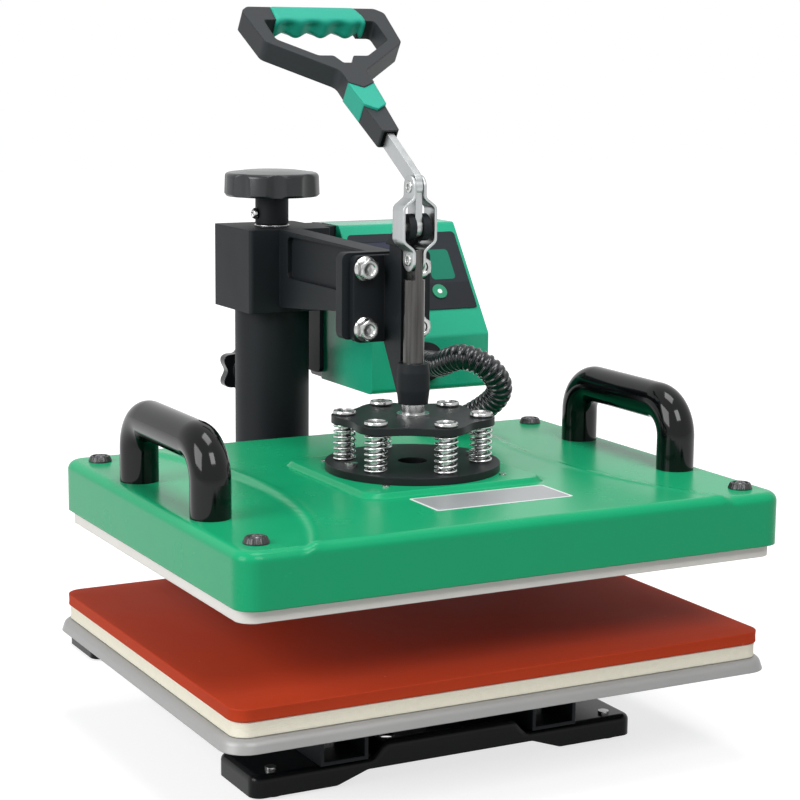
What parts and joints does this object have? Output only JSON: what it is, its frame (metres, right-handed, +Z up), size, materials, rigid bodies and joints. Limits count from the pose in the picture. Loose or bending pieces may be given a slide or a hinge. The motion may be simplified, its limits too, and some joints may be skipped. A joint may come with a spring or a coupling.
{
  "type": "combo heat press",
  "caption": "Swing-away combo heat press: toggle lever lowers a sprung heated platen onto a padded bed, on a column with a height knob and control box.",
  "frame": {"origin": "on the bench under the middle of the machine's bounding box", "axes": "+Z up, +X to the operator's right, +Y from the operator towards the column"},
  "size_m": [0.39, 0.481, 0.4967],
  "materials": {
    "powder_black": "satin black powder coat",
    "rubber_black": "matt",
    "zinc_steel": "bright zinc plate",
    "tray_grey": "silver-grey paint",
    "foam_cream": "open-cell foam edge",
    "silicone_red": "matt silicone sponge",
    "cover_green": "semi-gloss enamel",
    "box_green": "semi-gloss enamel",
    "heat_silver": "coated cast plate",
    "black_plastic": "moulded",
    "gloss_black": "gloss moulded",
    "teal_plastic": "soft-touch moulded",
    "panel_grey": "printed film",
    "display_glass": "tinted window",
    "key_green": "moulded keys",
    "insulation": "mica and glass-fibre sheet"
  },
  "bodies": {
    "root": {"front_crossbar": "powder_black", "rear_crossbar": "powder_black", "rubber_feet": "rubber_black", "left_rail": "powder_black", "right_rail": "powder_black", "frame_fixings": "zinc_steel", "lower_tray": "tray_grey", "foam_mat": "foam_cream", "silicone_pad": "silicone_red", "column_plate": "powder_black", "column_tube": "powder_black"},
    "lift_collar": {"thrust_washer": "zinc_steel"},
    "knob_group": {"pressure_knob": "black_plastic", "knob_fittings": "black_plastic", "pressure_spindle": "zinc_steel"},
    "arm": {"arm_casting": "powder_black", "swivel_post": "zinc_steel", "clamp_bracket": "powder_black", "guide_bush": "black_plastic", "bracket_bolts": "zinc_steel", "lever_pivot_pin": "zinc_steel", "box_shell": "box_green", "box_back": "black_plastic", "box_bracket": "powder_black", "box_fasteners": "zinc_steel", "membrane_panel": "panel_grey", "display_window": "display_glass", "circuit_board": "black_plastic", "power_inlet": "black_plastic", "box_gland": "black_plastic", "wiring_hose": "gloss_black"},
    "lever": {"lever_bar": "zinc_steel", "neck_sleeve": "black_plastic", "neck_band": "teal_plastic", "handle_frame": "black_plastic", "handle_grip": "teal_plastic", "link_pin_top": "zinc_steel"},
    "links": {"toggle_link_left": "zinc_steel", "toggle_link_right": "zinc_steel", "link_rivets": "zinc_steel"},
    "plunger": {"plunger_rod": "zinc_steel", "plunger_fittings": "zinc_steel", "spider_plate": "powder_black", "pressure_springs": "zinc_steel"},
    "platen": {"mount_disc": "powder_black", "spider_bolts": "zinc_steel", "platen_cover": "cover_green", "platen_fixings": "zinc_steel", "cover_screws": "powder_black", "heat_plate": "heat_silver", "heater_pack": "insulation", "carry_handle_left": "gloss_black", "carry_handle_right": "gloss_black", "platen_gland": "black_plastic"},
    "column_lock": {"lock_knob": "black_plastic"},
    "key_a": {"key_left": "key_green"},
    "key_b": {"key_middle": "key_green"},
    "key_c": {"key_right": "key_green"},
    "rocker": {"power_rocker": "black_plastic"}
  },
  "joints": [
    {"name": "arm_lift", "type": "slide", "parent": "root", "child": "lift_collar", "axis": [0, 0, 1], "range_m": [0, 0.01]},
    {"name": "pressure_turn", "type": "hinge", "parent": "lift_collar", "child": "knob_group", "pos_m": [0, 0.1395, 0.33], "axis": [0, 0, 1], "range_deg": [0, 900]},
    {"name": "arm_swing", "type": "hinge", "parent": "lift_collar", "child": "arm", "pos_m": [0, 0.1395, 0.3], "axis": [0, 0, 1], "range_deg": [-190, 30]},
    {"name": "lever_pull", "type": "hinge", "parent": "arm", "child": "lever", "pos_m": [0, -0.0865, 0.352], "axis": [1, 0, 0], "range_deg": [0, 180]},
    {"name": "link_swing", "type": "hinge", "parent": "lever", "child": "links", "pos_m": [0, -0.0865, 0.3785], "axis": [1, 0, 0], "range_deg": [-180, 0]},
    {"name": "plunger_slide", "type": "slide", "parent": "arm", "child": "plunger", "axis": [0, 0, -1], "range_m": [0, 0.053], "deforming": ["wiring_hose"]},
    {"name": "platen_float", "type": "slide", "parent": "plunger", "child": "platen", "axis": [0, 0, 1], "range_m": [0, 0.006], "stiffness_N_per_m": 30000, "springref_m": -0.005, "deforming": ["pressure_springs"]},
    {"name": "lock_turn", "type": "hinge", "parent": "root", "child": "column_lock", "pos_m": [0, 0.191, 0.218], "axis": [0, 1, 0], "range_deg": [0, 270]},
    {"name": "key_left_press", "type": "slide", "parent": "arm", "child": "key_a", "axis": [0, 0.8144, -0.5803], "range_m": [0, 0.0008], "stiffness_N_per_m": 600, "springref_m": -0.001},
    {"name": "key_middle_press", "type": "slide", "parent": "arm", "child": "key_b", "axis": [0, 0.8144, -0.5803], "range_m": [0, 0.0008], "stiffness_N_per_m": 600, "springref_m": -0.001},
    {"name": "key_right_press", "type": "slide", "parent": "arm", "child": "key_c", "axis": [0, 0.8144, -0.5803], "range_m": [0, 0.0008], "stiffness_N_per_m": 600, "springref_m": -0.001},
    {"name": "rocker_tilt", "type": "hinge", "parent": "arm", "child": "rocker", "pos_m": [0.078, 0.1675, 0.238], "axis": [1, 0, 0], "range_deg": [0, 16]}
  ],
  "couplings": [
    {"joint": "pressure_turn", "follows": "arm_lift", "rad_per_m": 1570.8},
    {"joint": "link_swing", "follows": "lever_pull", "ratio": -1},
    {"joint": "plunger_slide", "follows": "lever_pull", "m_per_rad": 0.01687}
  ]
}
